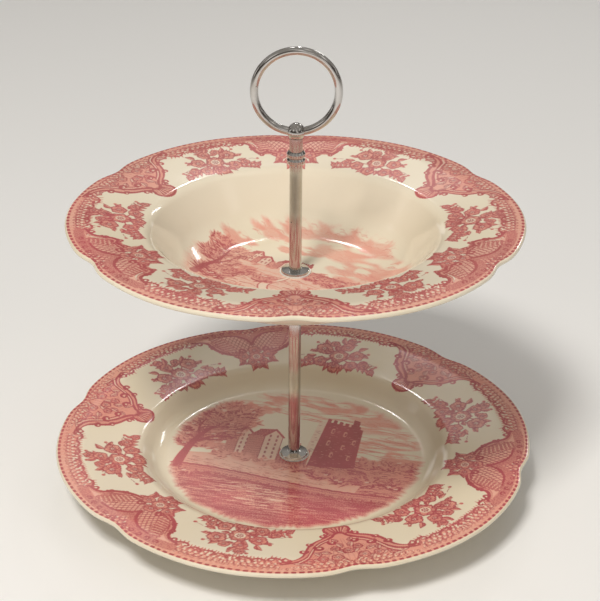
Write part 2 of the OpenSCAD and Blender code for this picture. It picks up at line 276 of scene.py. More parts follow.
def strap(L, depth, rng):
    """The bold strapwork cartouche: two arms that run from the edge band to a shell near the well."""
    d = depth
    arm = [(2.6, d - 6), (4.6, d - 10), (8.6, d - 13), (13, d - 16), (16.6, d - 20.5), (18.6, d - 25.5),
           (20.4, d - 30), (24, d - 33.5), (30, d - 35.6)]
    L.area([(-t, v) for t, v in arm[::-1]] + arm + [(31, 3), (-31, 3)], smooth=False, wash=0.95, ink=0.16)
    for f in (-1, 1):
        M = Local(L.cv, L.edge_r, math.degrees(L.angle), L.flip * f)
        for k in range(9):
            M.line([(1.2 + 2.6 * k, 5), (0.6 + 1.5 * k, d - 14 - 1.5 * k)], 0.5, 0.35, smooth=False, ink=0.45)
        for t, v, a, n in ((2, 8, 0.3, 6), (2, 14, 0.8, 6), (8, 15, 0.2, 6.5), (12, 8, 0.4, 6), (17, 6, 0.1, 7),
                           (2, 20, 1.1, 6), (8, 6, 0.9, 6), (13, 13, 0.9, 5.5), (22, 7, 0.3, 6), (4, 25, 1.3, 5)):
            leaf(M, (t, v), a, n, 3.2, 0.45, 0.5)
        for t, v, r in ((6, 11, 2.8), (0.2, 16.5, 2.6), (12.5, 10.5, 2.4), (5.4, 19.5, 2.4), (18.5, 9, 2.2)):
            rose(M, (t, v), r, rng, 0.6)
        bold = 6.4 if f > 0 else 4.0
        M.line(arm, 2.6, 2.4, wm=bold, ink=0.9, wash=1)
        M.line([(t - 0.2, v + 0.4) for t, v in arm[1:]], 0.8, 0.7, wm=bold * 0.42, ink=0.25, wash=0.9)
        M.line([(t - bold * 0.3, v - bold * 0.3) for t, v in arm[2:-1]], 0.7, ink=0.1, wash=0.4)
        M.line([(t - bold * 0.44, v - bold * 0.44) for t, v in arm[2:-1]], 0.8, ink=0.85)
        for c, r, s, n in (((9.4, d - 9.6), 2.0, 2.6, 0.95), ((12.6, d - 21.5), 2.6, 0.4, -0.9),
                           ((20.8, d - 24.5), 2.0, 3.2, 0.9), ((28.5, d - 32.6), 2.2, 3.6, 0.9),
                           ((17.6, d - 17.4), 1.6, 2.9, 0.9), ((5.6, d - 17), 2.0, 0.2, -0.9)):
            M.line(curl(c, r, s, n), 1.7, 0.9, ink=0.92, wash=1)
            M.dot(c, 0.6, ink=0.05, wash=0.3)
    half = [(5.6, d - 0.6), (7.6, d - 3.6), (6.4, d - 7)]
    shell = [(-t, v) for t, v in half[::-1]] + [(0, d + 0.8)] + half
    L.area(shell + [(3, d - 9), (-3, d - 9)], wash=1, ink=0.4)
    for t in (-5, -2.6, 0, 2.6, 5):
        L.line([(t * 0.4, d - 7.4), (t, d - 1.8)], 0.9, 0.6, smooth=False, ink=0.85)
        L.line([(t * 0.4 + 0.8, d - 6.4), (t + 0.9, d - 2.6)], 0.5, 0.4, smooth=False, ink=0.1, wash=0.5)
    L.line(shell, 1.3, ink=0.92, wash=1)
    for f in (-1, 1):
        L.line(curl((f * 7.6, d - 7.6), 2.0, 1.6 if f > 0 else 1.5, f * 0.8), 1.4, 0.8, ink=0.92, wash=1)
    L.line([(-3.6, d - 9.4), (0, d - 7.4), (3.6, d - 9.4)], 1.5, ink=0.9, wash=1)


def trellis(L, depth, rng):
    """The pale trellis cartouche, heart-shaped at the notch, with a nosegay below it."""
    d = depth
    rim = [(3, d - 17), (7, d - 15.2), (12, d - 15.6), (17, d - 18.2), (20.5, d - 22.5), (22, d - 27),
           (25.5, d - 30), (29, 8)]
    L.area([(-t, v) for t, v in rim[::-1]] + rim + [(30, 4), (-30, 4)], smooth=False, wash=0.66, ink=0.06)
    for k in range(-12, 13):
        for f in (-1, 1):
            p = [(k * 2.5 + f * q * 0.62, 6 + q) for q in np.linspace(0, d - 21, 14)]
            p = [q for q in p if abs(q[0]) < 22 - max(0, q[1] - (d - 26)) * 0.9]
            if len(p) > 1:
                L.line(p, 0.65, smooth=False, ink=0.72)
    for f in (-1, 1):
        M = Local(L.cv, L.edge_r, math.degrees(L.angle), L.flip * f)
        M.line([(30, 5), (20, 4.8), (13, 5.6), (6, 8.0), (2.2, 11.4), (0, 16)], 5.4, 2.4, wm=4.8, ink=0.5, wash=1)
        M.line([(18, 7.6), (10, 9.0), (5, 12), (1.8, 16), (0, 20)], 0.8, 1.6, wm=1.6, ink=0.92, wash=1)
        for k in range(5):
            M.line(curl((4.5 + 4.4 * k, 5.6 - 0.2 * k), 1.5, 2.0 + k, 0.9), 0.9, 0.5, ink=0.9)
        for k in range(8):
            M.line([(21.5 - 0.5 * k, 9 + 2.0 * k), (15.6 - 0.8 * k, 7.2 + 2.2 * k)], 2.0, 0.6, smooth=False,
                   ink=0.6, wash=1)
            M.line([(20.5 - 0.5 * k, 9.8 + 2.0 * k), (17 - 0.8 * k, 8.6 + 2.2 * k)], 0.6, 0.3, smooth=False,
                   ink=0.1, wash=0.5)
        edge = [(31, 8.4), (26.6, 9.8), (23.6, 12.6), (22.4, 17), (20.2, 21.5), (16.6, d - 17.6),
                (11.8, d - 15.2), (7, d - 15)]
        M.line(edge, 1.8, 2.4, wm=3.8, ink=0.93, wash=1)
        M.line([(t - 0.5, v - 0.5) for t, v in edge], 0.6, 0.7, wm=1.3, ink=0.3, wash=0.8)
        for k in range(6):
            M.dot((17.8 - 2.1 * k, d - 18.6 + 0.5 * k), 0.7, ink=0.95)
        for c, r, s, n in (((7.8, d - 17.8), 2.6, 1.4, 1.1), ((23.6, 17.4), 1.8, -1.2, -1.0),
                           ((28.6, 11.4), 2.0, -0.6, -1.0), ((19.8, 24.0), 1.6, -0.8, -1.0)):
            M.line(curl(c, r, s, n), 1.6, 0.8, ink=0.9, wash=1)
        for t, v, a, n in ((2.0, d - 9, 0.5, 8.5), (1.6, d - 6, 1.0, 8), (6.5, d - 13, -0.1, 8),
                           (8, d - 10, 0.7, 8), (4, d - 5, 1.3, 6), (10, d - 12, 1.2, 7)):
            leaf(M, (t, v), a, n, 3.6, 0.6)
        rose(M, (8, d - 12.6), 3.6, rng, 0.3)
    for t, v, r in ((0, d - 17, 3.8), (-3.8, d - 6.4, 3.2), (4.0, d - 6.2, 3.2), (0, d - 2.6, 2.4)):
        rose(L, (t, v), r, rng, 0.3)
    rose(L, (0, d - 11), 4.8, rng, 0.7, 6)


def draw_border(edge_r, outline, well_r, seed):
    """One third of the rim's print, on a canvas round the +X axis.

    The strapwork is at 0 degrees and the trellis at -60 and 60.
    """
    cv = Canvas(math.cos(math.radians(63)) * (well_r - 6), edge_r + 3, -edge_r * 0.93, edge_r * 0.93, FINE_STEP)
    x, y = np.meshgrid(cv.xs, cv.ys)
    ang = np.degrees(np.arctan2(y, x))
    v = outline(ang) - np.hypot(x, y)
    s = np.radians(np.abs(ang)) * edge_r
    tooth = np.abs((s / BAND_TOOTH) % 1 - 0.5) * 2
    inner = BAND_W + 2.4 * tooth ** 1.6 + 0.9 * np.sin(s * TAU / 13.0)
    body = np.clip((v - LIP_W) / 0.3, 0, 1) * np.clip((inner - v) / 0.3, 0, 1)
    mottle = np.sin(s * TAU / 3.1 + 2 * np.sin(v * 1.9)) * np.sin(v * TAU / 3.4 + np.sin(s * 0.7))
    cv.wash[:] = (0.78 + 0.16 * mottle) * body
    cv.ink[:] = (0.10 + 0.14 * mottle) * body
    line = np.clip((0.6 - np.abs(v - inner)) / 0.35, 0, 1)
    cv.ink[:] = np.maximum(cv.ink, 0.8 * line)
    cv.wash[:] = np.maximum(cv.wash, line)
    depth = edge_r - well_r - 1.0
    for a in (-60, 0, 60):
        for f in (-1, 1):
            L = Local(cv, edge_r, a, f)
            for k in range(20):
                t = 1.4 + k * 2.75
                L.line(curl((t, 5.4), 2.0, 1.2 + 0.6 * k, 1.1, 12), 1.0, 0.5, smooth=False, ink=0.7)
                L.line(curl((t + 1.3, 3.2), 1.0, 2.2 + k, 0.8, 9), 0.7, 0.45, smooth=False, ink=0.6)
                L.dot((t + 1.2, 6.9), 0.8, wash=0.25, ink=0.0)
                L.dot((t - 0.2, 4.6), 0.5, wash=0.3, ink=0.0)
                L.line([(t, 7.4), (t + 0.8, 9.6)], 1.5, 0.7, smooth=False, ink=0.6, wash=1)
            for t, v0, size, turn in ((33, 9.6, 3.4, 0.3), (40, 8.6, 3.0, 0.0), (46.5, 8.8, 3.0, 0.0),
                                      (52, 8.6, 2.6, -0.2)):
                frond(L, (t, v0), turn, size)
    for a in (-60, 60):
        trellis(Local(cv, edge_r, a), depth, np.random.default_rng(seed + 5))
    strap(Local(cv, edge_r, 0), depth, np.random.default_rng(seed))
    for n, f in ((1, 1), (2, -1)):
        spray(Local(cv, edge_r, 30 * f, f), edge_r - well_r - 15.5, np.random.default_rng(seed + n),
              (edge_r - well_r) / 42)
    # The cream lip and the stitched line run over everything.
    lip = np.clip((v - LIP_W) / 0.25, 0, 1)
    cv.wash *= lip
    cv.ink *= lip
    dash = np.clip((np.cos(s * TAU / STITCH) + 0.45) * 4, 0.1, 1)
    stitch = np.clip((0.8 - np.abs(v - LIP_W - 0.75)) / 0.25, 0, 1)
    cv.ink[:] = np.maximum(cv.ink, 1.1 * stitch * dash)
    cv.wash[:] = np.maximum(cv.wash, 0.9 * stitch)
    return cv


def foliage(cv, c, rx, ry, n, rng, ink=0.6, length=3.0, lean=0.0, wash=0.85):
    """A mass of short leafy strokes inside an ellipse, darker low down."""
    for k in range(n):
        a, q = rng.uniform(0, TAU), math.sqrt(rng.random())
        p = np.array([c[0] + rx * q * math.cos(a), c[1] + ry * q * math.sin(a)])
        d = a * 0.65 + lean + rng.uniform(-0.8, 0.8)
        e = p + length * rng.uniform(0.5, 1.2) * np.array([math.cos(d), math.sin(d) * 0.7])
        dark = ink * (0.45 + 0.65 * rng.random()) * (1.1 - 0.4 * (p[1] - c[1]) / ry)
        mid = (p + e) / 2 + rng.uniform(-0.4, 0.4, 2)
        cv.stroke([p, mid, e], 2.0, 0.9, wash=wash, soft=0.8)
        cv.stroke([p, mid, e], 1.15, 0.3, ink=min(0.95, dark))


def clump(cv, c, rx, ry, rng, ink):
    """A tree crown: a soft tone under leafy strokes, with a few pale gaps."""
    cv.oval(c, rx, ry, wash=0.8, ink=ink * 0.35, soft=ry * 0.5)
    foliage(cv, c, rx, ry, int(rx * ry * 1.1), rng, ink, min(5.0, rx * 0.35 + 1.2), 0.25)
    for _ in range(int(rx * ry * 0.07)):
        a, q = rng.uniform(0, TAU), math.sqrt(rng.random())
        p = (c[0] + rx * q * math.cos(a), c[1] + ry * q * math.sin(a))
        cv.stroke([p, (p[0] + 1.6, p[1] + 0.5)], 0.8, ink=0.05, wash=0.35)


def shore(x):
    """The height of the bank's foot: it falls to the right and then runs level."""
    return -22 - 13 * (1 - np.cos(np.clip((np.asarray(x) + 62) / 105, 0, 1) * math.pi)) / 2


def house(cv, x, y, w, h, roof, side):
    """A gabled stone house: a pale front, a shaded side wall of the given width on its left, a red roof."""
    fl, st = cv.fill, cv.stroke
    fl([(x, y), (x, y + h), (x + w / 2, y + h + roof), (x + w, y + h), (x + w, y)], wash=0.42, ink=0.04)
    fl([(x - side, y + 1), (x - side, y + h - 1), (x, y + h), (x, y)], wash=1, ink=0.42)
    fl([(x - side, y + h - 1), (x - side + w / 2, y + h + roof - 1), (x + w / 2, y + h + roof), (x, y + h)],
       wash=1, ink=0.62)
    st([(x - 0.6, y + h - 0.6), (x + w / 2, y + h + roof), (x + w + 0.6, y + h - 0.6)], 1.3, ink=0.85, wash=1)
    st([(x + w / 2, y + h + roof), (x + w / 2 - side, y + h + roof - 1)], 0.9, ink=0.8, wash=1)
    for q in np.arange(0.15, 1, 0.17):
        left = x - side + q * side
        st([(left, y + h - 1 + q), (left + w / 2, y + h + roof - 1 + q)], 0.45, ink=0.8)
    for wy in np.arange(1.5, h, 2.1):
        st([(x - side, y + wy), (x, y + wy)], 0.3, ink=0.65)
    for wx in (0.3, 0.7):
        for wy in np.arange(2.2, h, 4.2):
            st([(x + w * wx, y + wy), (x + w * wx, y + wy + 1.6)], 1.1, ink=0.88)
    for wx in (x, x + w):
        st([(wx, y), (wx, y + h)], 0.6, ink=0.8)


def keep_tower(cv, quad, rng):
    """A ruined square tower: a dark front with worn stones and windows, a pale left wall and a broken top."""
    q = np.asarray(quad, float)
    at = lambda u, w: q[0] * (1 - u) * (1 - w) + q[3] * u * (1 - w) + q[2] * u * w + q[1] * (1 - u) * w
    cv.fill([at(0, 0), at(0, 1), at(1, 1), at(1, 0)], wash=1, ink=0.98)
    for u in np.arange(0.0, 0.95, 0.165):
        cv.fill([at(u, 0.97), at(u, 1.07), at(u + 0.1, 1.07), at(u + 0.1, 0.97)], wash=1, ink=0.86)
    cv.fill([at(0.7, 0.95), at(0.7, 1.2), at(0.88, 1.2), at(0.88, 0.95)], wash=1, ink=0.86)
    cv.fill([at(-0.2, 0.02), at(-0.2, 0.93), at(0, 1.02), at(0, 0)], wash=0.3, ink=0.05)
    for _ in range(70):
        a = at(rng.uniform(0.03, 0.95), rng.uniform(0.05, 0.97))
        cv.stroke([a, a + [rng.uniform(0.5, 1.6), 0]], 0.6, ink=rng.uniform(0.3, 0.6), wash=0.9)
    for _ in range(26):
        a = at(rng.uniform(-0.19, -0.03), rng.uniform(0.02, 0.9))
        cv.stroke([a, a + [1.1, 0.1]], 0.6, ink=0.6)
    for u, w in ((0.25, 0.78), (0.58, 0.76), (0.25, 0.5), (0.62, 0.44), (0.42, 0.24), (0.85, 0.6), (0.82, 0.2)):
        cv.stroke([at(u, w), at(u, w + 0.08)], 2.0, ink=0.25, wash=0.75)
        cv.stroke([at(u + 0.01, w + 0.01), at(u + 0.01, w + 0.06)], 0.9, ink=0.95)


def draw_river(seed):
    """A river landscape of no real place: a leaning tree, gabled houses, a ruined keep, banks, water and clouds."""
    cv = Canvas(-WELL_R, WELL_R, -WELL_R, WELL_R, FINE_STEP)
    rng = np.random.default_rng(seed)
    st, fl = cv.stroke, cv.fill
    # Sky: broad soft clouds, then fine shading along their undersides.
    clouds(cv, [(52, 22, 13), (40, 44, 15), (14, 54, 15), (-14, 58, 12), (58, 4, 10), (-24, 46, 8)], rng)
    for n, lo, hi, wide in ((50, 0.3, 0.7, 5.5), (110, 0.0, 0.0, 0.8)):
        for k in range(n):
            y = rng.uniform(-2, 68)
            x = rng.uniform(-40 if y > 44 else (-12 if y > 36 else 20), 70)
            ln = rng.uniform(8, 30)
            xs = np.linspace(x - ln / 2, x + ln / 2, 9)
            p = np.c_[xs, y + np.sin(xs * 0.16 + k) * 1.5 - (xs - x) * 0.1]
            if wide > 1:
                st(p, 0.5, 0.4, wm=rng.uniform(1.5, wide), wash=rng.uniform(lo, hi) if k % 4 else 0.12, soft=1.8)
            else:
                st(p, 0.2, 0.2, wm=wide, ink=rng.uniform(0.15, 0.4), wash=0.8, soft=0.6)
    # Far woods, then the hill under the keep.
    for x in np.arange(38, 72, 5.0):
        clump(cv, (x, -5 + 3.5 * math.sin(x * 0.4)), 5.6, 6.0, rng, 0.7)
    fl([(2, -8), (16, -5), (40, -8), (71, -10), (71, -36), (30, -36), (-8, -28)], wash=0.85, ink=0.3)
    for k in range(240):
        x, y = rng.uniform(0, 68), rng.uniform(-33, -7)
        ln = rng.uniform(3, 9)
        st([(x, y), (x + ln * 0.5, y + rng.uniform(-0.2, 1)), (x + ln, y - rng.uniform(0, 1.6))], 1.0, 0.4,
           ink=(0.1 if k % 4 == 0 else rng.uniform(0.45, 0.85)), wash=0.9)
    keep_tower(cv, [(8.5, -10), (12.5, 37.0), (33.5, 31.0), (33.8, -8.5)], rng)
    house(cv, -33, -5, 7, 22, 5, 6)
    house(cv, -19, -8, 10, 24, 7, 9)
    fl([(-9, -11), (-9, 4), (8, 5), (8, -12)], wash=1, ink=0.5)
    fl([(-4, 3), (-4, 11), (2, 11.5), (2, 3)], wash=1, ink=0.6)
    for x in np.arange(-8.5, 8, 1.9):
        st([(x, -10), (x, 4)], 0.5, ink=0.75)
    # Lawn and bushes before the houses
    xs = np.linspace(-64, 68, 60)
    foot = shore(xs)
    fl([(-62, -8), (-36, -6), (-10, -11), (20, -14), (40, -24)] + list(zip(xs[45::-5], foot[45::-5])),
       wash=0.62, ink=0.08)
    for c, rx in (((-46, 1), 7), ((-38, -6), 6), ((-27, -8), 6), ((-15, -11), 5.5), ((-5, -14), 5), ((7, -14), 6.5),
                  ((18, -18), 7), ((30, -21), 8), ((44, -20), 8), ((57, -20), 8)):
        clump(cv, c, rx, rx * 0.62, rng, 0.8 if c[0] > 0 else 0.6)
    for k in range(130):
        x = rng.uniform(-58, 20)
        y = shore(x) + rng.uniform(2, 12)
        st([(x, y), (x + rng.uniform(2, 6), y - rng.uniform(0.4, 1.4))], 0.6, 0.25, ink=rng.uniform(0.35, 0.6))
    # Bank wall and water
    wall = np.r_[np.c_[xs, foot + 2.5], np.c_[xs, foot - 4.5][::-1]]
    fl(wall, wash=1, ink=0.38)
    for dy, w, ink in ((2.6, 1.2, 0.9), (0.6, 0.6, 0.6), (-1.6, 0.6, 0.55), (-4.2, 1.8, 0.92)):
        st(np.c_[xs, foot + dy + 0.3 * np.sin(xs * 1.7)], w, ink=ink, wash=1)
    for k in range(80):
        x = rng.uniform(-58, 64)
        foliage(cv, (x, shore(x) - 3.6), 1.8, 1.3, 5, rng, 0.85, 2.2)
    fl(np.r_[np.c_[xs, foot - 4.6], [(WELL_R, -WELL_R), (-WELL_R, -WELL_R)]], wash=1, ink=0.5)
    for k in range(620):
        x = rng.uniform(-62, 60)
        y = rng.uniform(-70, shore(x) - 5)
        ln = rng.uniform(5, 22)
        st([(x, y), (x + ln / 2, y + rng.uniform(-0.3, 0.3)), (x + ln, y - ln * 0.03)], 0.4, 0.3,
           wm=rng.uniform(0.7, 1.5), ink=rng.uniform(0.55, 0.95))
    for k in range(130):
        x = rng.normal(-14, 17)
        y = shore(x) - rng.uniform(6, 26)
        ln = rng.uniform(3, 12)
        st([(x, y), (x + ln, y - ln * 0.03)], 0.3, 0.3, wm=rng.uniform(0.6, 1.5), ink=0.08, wash=0.4, soft=0.5)
    # Tree
    for c, rx, ry in (((-57, 6), 10, 9), ((-49, 16), 17, 11), ((-58, 24), 11, 11), ((-41, 27), 15, 9),
                      ((-47, 39), 15, 10), ((-33, 38), 8, 7)):
        clump(cv, c, rx, ry, rng, 0.72)
    st(curve([(-61, -28), (-60, -15), (-58, -2), (-55, 9), (-49, 20), (-40, 29)]), 6.4, 1.0, wm=3.6,
       ink=0.92, wash=1)
    st(curve([(-57, 2), (-50, 8), (-42, 11), (-34, 10)]), 2.2, 0.5, ink=0.88, wash=1)
    st(curve([(-55, 9), (-57, 20), (-54, 30)]), 1.8, 0.5, ink=0.88, wash=1)
    foliage(cv, (-42, 28), 14, 8, 90, rng, 0.5, 4.0, 0.2)
    clump(cv, (-58, -27), 8, 3.5, rng, 0.8)
    fade_out(cv)
    return cv


def fade_out(cv):
    """The print ends in a soft ragged ring, with less sky at the top."""
    x, y = np.meshgrid(cv.xs, cv.ys)
    a = np.arctan2(y, x)
    ragged = 70.5 + 0.7 * np.sin(a * 17 + 3 * np.sin(a * 5)) + 0.6 * np.sin(a * 71 + 5 * np.sin(a * 13))
    ragged += 0.8 * np.sin(a * 3 + 1)
    ragged -= 5 * np.clip(np.sin(a) - 0.4, 0, 1)
    fade = np.clip((ragged - np.hypot(x, y)) / 5.0, 0, 1) ** 0.8
    cv.wash *= fade
    cv.ink *= fade


def clouds(cv, heaps, rng):
    """Heaped clouds: salmon undersides, pale tops and curling shade lines, at (x, y, radius)."""
    for cx, cy, r in heaps:
        for k in range(16):
            a = rng.uniform(0, TAU)
            p = (cx + r * 1.3 * math.cos(a) * rng.random(), cy + r * 0.6 * math.sin(a) * rng.random())
            cv.oval(p, r * rng.uniform(0.25, 0.6), r * rng.uniform(0.16, 0.36), rng.uniform(-0.4, 0.1),
                    wash=rng.uniform(0.45, 0.95), ink=rng.uniform(0.0, 0.2), soft=r * 0.22)
        for k in range(6):
            p = (cx + r * rng.uniform(-1, 0.8), cy + r * rng.uniform(0.1, 0.6))
            cv.oval(p, r * rng.uniform(0.15, 0.4), r * 0.14, rng.uniform(-0.4, 0.1), wash=0.12, ink=0.0,
                    soft=r * 0.14)
        for k in range(int(r)):
            p = np.array([cx + r * rng.uniform(-1.2, 1.0), cy + r * rng.uniform(-0.6, 0.5)])
            q = rng.uniform(2, 7)
            cv.stroke([p, p + [q * 0.5, q * 0.12], p + [q, -q * 0.2]], 0.5, 0.3, ink=rng.uniform(0.2, 0.4),
                      wash=0.8, soft=0.6)


def draw_vale(seed):
    """The upper plate's landscape, of no real place: trees, a low manor far off, shrubs, a path and clouds."""
    cv = Canvas(-WELL_R, WELL_R, -WELL_R, WELL_R, FINE_STEP)
    rng = np.random.default_rng(seed)
    st, fl = cv.stroke, cv.fill
    clouds(cv, [(-38, 40, 14), (-20, 52, 16), (0, 34, 12), (8, 56, 15), (26, 40, 21), (42, 26, 20), (54, 6, 18),
                (30, 16, 12), (-14, 26, 9), (48, -10, 13), (-54, 22, 10), (28, 54, 14), (58, -20, 12)], rng)
    fl([(-70, -6), (-30, 1), (10, 0), (40, -4), (70, -14), (70, -72), (-70, -72)], wash=0.5, ink=0.05)
    for x in np.arange(-36, 44, 4.6):
        clump(cv, (x, 1.5 + 1.5 * math.sin(x * 0.5)), 4.2, 3.2, rng, 0.6)
    for x, y, w, h in ((-34, 0, 5, 11), (-27, -1, 7, 8), (-12, -1, 6, 9)):
        house(cv, x, y, w, h, 4, 4.5)
    keep_tower(cv, [(-4, -2), (-3, 13), (6, 12), (6, -2)], rng)
    fl([(9, -6), (10, 5), (34, 3), (40, -9)], wash=1, ink=0.62)
    for x, rx in ((12, 6), (21, 7), (30, 7), (39, 6)):
        clump(cv, (x, -2 - (x - 12) * 0.1), rx, 5, rng, 0.8)
    for k in range(300):
        x, y = rng.uniform(-60, 62), rng.uniform(-60, -6)
        ln = rng.uniform(4, 16)
        st([(x, y), (x + ln * 0.5, y + 0.5), (x + ln, y - 1.2)], 0.8, 0.3,
           ink=(0.05 if k % 5 == 0 else rng.uniform(0.3, 0.7)), wash=0.8)
    path = curve([(46, -62), (20, -44), (0, -34), (-8, -24), (-2, -14), (2, -6)])
    st(path, 13.0, 1.5, ink=0.04, wash=0.3, soft=1.0)
    for f in (-1, 1):
        st(path + [6.4 * f, 0] * np.linspace(1, 0.1, len(path))[:, None], 1.2, 0.4, ink=0.8, wash=1)
    for c, rx in (((-30, -14), 10), ((-12, -18), 8), ((22, -22), 9), ((42, -26), 12), ((-18, -40), 12),
                  ((6, -54), 11), ((48, -44), 11)):
        clump(cv, c, rx, rx * 0.6, rng, 0.7)
    for c, rx, ry in (((-54, -4), 9, 9), ((-47, 4), 12, 8), ((-56, 9), 9, 7), ((-45, -10), 9, 8),
                      ((-42, -24), 13, 9)):
        clump(cv, c, rx, ry, rng, 0.82)
    st(curve([(-50, -36), (-51, -22), (-49, -8), (-50, 6)]), 4.6, 0.9, wm=2.8, ink=0.92, wash=1)
    st(curve([(-50, -16), (-44, -8), (-40, 2)]), 2.0, 0.6, ink=0.9, wash=1)
    fade_out(cv)
    return cv


# ---------------------------------------------------------------- plates
WALL, EDGE_ROUND, FOOT_TAPER, FOOT_W, FLOOR_T = 2.6, 1.2, 1.4, 3.2, 4.6
NOTCH_SHARE, NOTCH_SPREAD, LEVEL_W, HOLE_R = 0.6, 4.5, 9.0, 4.0


def corner(a, b, c, r, steps=14):
    a, b, c = map(np.array, (a, b, c))
    if r == 0:
        return [b]
    u, v = (a - b) / np.linalg.norm(a - b), (c - b) / np.linalg.norm(c - b)
    half = math.acos(np.clip(u @ v, -1, 1)) / 2
    w = (u + v) / np.linalg.norm(u + v)
    mid = b + w * r / math.sin(half)
    s = b + u * r / math.tan(half) - mid
    e = b + v * r / math.tan(half) - mid
    a0 = math.atan2(s[1], s[0])
    turn = (math.atan2(e[1], e[0]) - a0 + math.pi) % TAU - math.pi
    angles = [a0 + turn * i / steps for i in range(steps + 1)]
    return [mid + r * np.array([math.cos(a), math.sin(a)]) for a in angles]


def rounded(path):
    n = len(path)
    out = []
    for i in range(n):
        a, b, c = path[i - 1][:2], path[i][:2], path[(i + 1) % n][:2]
        out += corner(a, b, c, path[i][2] if 0 < i < n - 1 else 0)
    return np.array(out)


class Shape:
    """A plate's size, as in the CAD, in millimetres from its own foot."""

    def __init__(self, r, notch, h, floor_r, shoulder_r, rise, foot_h, inset):
        self.r, self.notch, self.h = r, notch, h
        floor_z = foot_h + FLOOR_T
        level = r - notch - LEVEL_W
        sh = np.array([shoulder_r, h - rise])
        w = sh - [floor_r, floor_z]
        w = w / np.linalg.norm(w)
        out = np.array([w[1], -w[0]]) * WALL
        wall_foot = floor_r + out[0]
        foot_out = wall_foot - inset - FOOT_TAPER
        foot_in = foot_out - FOOT_W
        self.shoulder = shoulder_r
        self.top = rounded([(HOLE_R, floor_z, 0), (floor_r, floor_z, (shoulder_r - floor_r) * 1.4),
                            (sh[0], sh[1], 9), (level, h, 40), (r + 1, h, 0)])
        self.under = rounded([(r + 1, h - WALL, 0), (level, h - WALL, 40), (sh[0] + out[0], sh[1] + out[1], 9),
                              (wall_foot, foot_h, inset * 1.8), (foot_out + FOOT_TAPER, foot_h, 0.5),
                              (foot_out, 0, 1.0), (foot_in, 0, 1.0), (foot_in - FOOT_TAPER, foot_h, 1.4),
                              (HOLE_R, foot_h, 0)])
        self.foot_in = foot_in

    def outline(self, deg):
        off = np.abs((np.asarray(deg, float) + 30) % 60 - 30)
        return self.r - self.notch * (1 - NOTCH_SHARE) * (1 - np.cos(np.radians(6 * off))) / 2 \
            - self.notch * NOTCH_SHARE * np.exp(-((30 - off) / NOTCH_SPREAD) ** 2)


# Points round a ring at the rim, in the well and near the hole; each is twice the next, so the rings can meet.
N_OUT, N_MID, N_IN = 1600, 800, 400
RING_STEP = 0.5


def plate_rings(s):
    """Rings of (count, angles, radius per angle, height, kind), from the hole's top edge over the rim and under it."""
    rings = []
    mean = s.r - s.notch * 0.4

    def add(n, radius, height, kind):
        deg = np.arange(n) * 360.0 / n
        rings.append((n, deg, radius(deg), height, kind))
    ra = s.shoulder + 6
    rb = s.r - s.notch - 6

    def warp(rn):
        w = np.clip((rn - ra) / (rb - ra), 0, 1)
        return lambda deg: rn + (s.outline(deg) - mean) * w * w * (3 - 2 * w)
    rn = HOLE_R + 0.4
    add(N_IN, lambda d: np.full(len(d), HOLE_R), None, "bore_top")
    add(N_IN, lambda d: np.full(len(d), HOLE_R + 0.12), None, "top")
    while rn < mean - 3.6:
        n = N_IN if rn < 34 else (N_MID if rn < s.shoulder - 2 else N_OUT)
        add(n, warp(rn), None, "top")
        rn += RING_STEP if (rn < s.shoulder - 9 or rn > s.shoulder + 1) else RING_STEP * 0.9
    v = 3.5
    while v > EDGE_ROUND + 0.1:
        add(N_OUT, lambda d, v=v: s.outline(d) - v, None, "top")
        v -= 0.3
    for k in np.radians(np.linspace(0, 180, 15)):
        add(N_OUT, lambda d, k=k: s.outline(d) - EDGE_ROUND * (1 - math.sin(k)),
            s.h - WALL / 2 + WALL / 2 * math.cos(k), "lip")
    for v in (2.4, 3.4, 5.0):
        add(N_OUT if v < 3 else N_MID, lambda d, v=v: s.outline(d) - v, None, "under")
    return rings


def underside(s):
    """(radius, height) points from the rim inwards, under the plate."""
    # The underside runs along its section, which turns back on itself at the foot.
    low = []
    for (ax, ay), (bx, by) in zip(s.under[:-1], s.under[1:]):
        d = math.hypot(bx - ax, by - ay)
        m = max(1, int(math.ceil(d / 2.5)))
        low += [(ax + (bx - ax) * i / m, ay + (by - ay) * i / m) for i in range(m)]
    return [p for p in low if p[0] < s.r - s.notch - 7] + [tuple(s.under[-1])]


def ring_faces(ring_at):
    """Quads between neighbouring rings of equal or double count; a triangle repeats its last or first corner."""
    faces = []
    for (a0, na), (b0, nb) in zip(ring_at, ring_at[1:] + ring_at[:1]):
        i = np.arange(min(na, nb))
        j = (i + 1) % len(i)
        if na == nb:
            faces.append(np.c_[a0 + i, a0 + j, b0 + j, b0 + i])
        elif nb == 2 * na:
            m0, m1, m2 = b0 + 2 * i, b0 + 2 * i + 1, b0 + (2 * i + 2) % nb
            faces.append(np.c_[a0 + i, m1, m0, m0])
            faces.append(np.c_[a0 + i, a0 + j, m2, m1])
        elif na == 2 * nb:
            m0, m1, m2 = a0 + 2 * i, a0 + 2 * i + 1, a0 + (2 * i + 2) % na
            faces.append(np.c_[m0, m1, b0 + i, b0 + i])
            faces.append(np.c_[m1, m2, b0 + j, b0 + i])
        else:
            raise ValueError(f"rings of {na} and {nb} do not meet")
    return np.vstack(faces)[:, ::-1]


